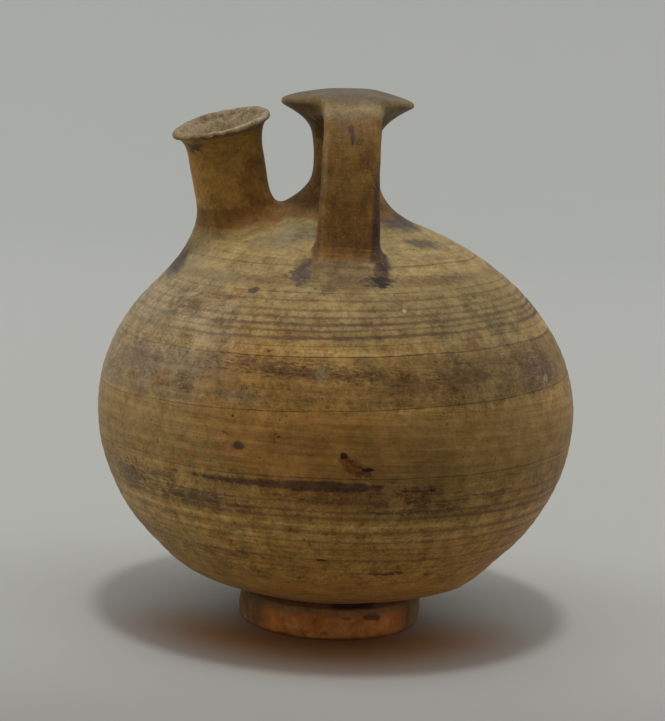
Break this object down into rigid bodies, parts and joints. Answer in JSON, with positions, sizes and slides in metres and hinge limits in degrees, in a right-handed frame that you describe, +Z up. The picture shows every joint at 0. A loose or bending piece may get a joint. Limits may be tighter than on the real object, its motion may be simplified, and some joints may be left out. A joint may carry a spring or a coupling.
{
  "type": "stirrup jar",
  "caption": "Small round painted clay jar with a ring foot, a closed false neck capped by a disc, strap handles arching from the disc to the shoulder, and a flared pouring spout beside them.",
  "frame": {"origin": "on the resting plane, below the centre of the belly", "axes": "+Z up the jar's axis; -X towards the pouring spout; -Y towards the front handle, +Y towards the rear handle"},
  "size_m": [0.1256, 0.1256, 0.1406],
  "materials": {
    "banded_buff_clay": "polished buff slip with worn brown painted bands",
    "painted_clay": "buff clay under thin worn brown to red-brown paint, slightly lustrous",
    "pale_worn_clay": "pale slip, paint worn away, matt",
    "bare_orange_clay": "bare orange clay with traces of pale slip, matt"
  },
  "bodies": {
    "root": {"body": "banded_buff_clay", "foot_ring": "bare_orange_clay", "false_neck": "painted_clay", "false_neck_disc": "pale_worn_clay", "front_handle": "painted_clay", "rear_handle": "painted_clay", "spout": "painted_clay", "neck_luting": "painted_clay", "spout_luting": "banded_buff_clay", "front_handle_luting": "painted_clay", "rear_handle_luting": "painted_clay"}
  },
  "joints": []
}
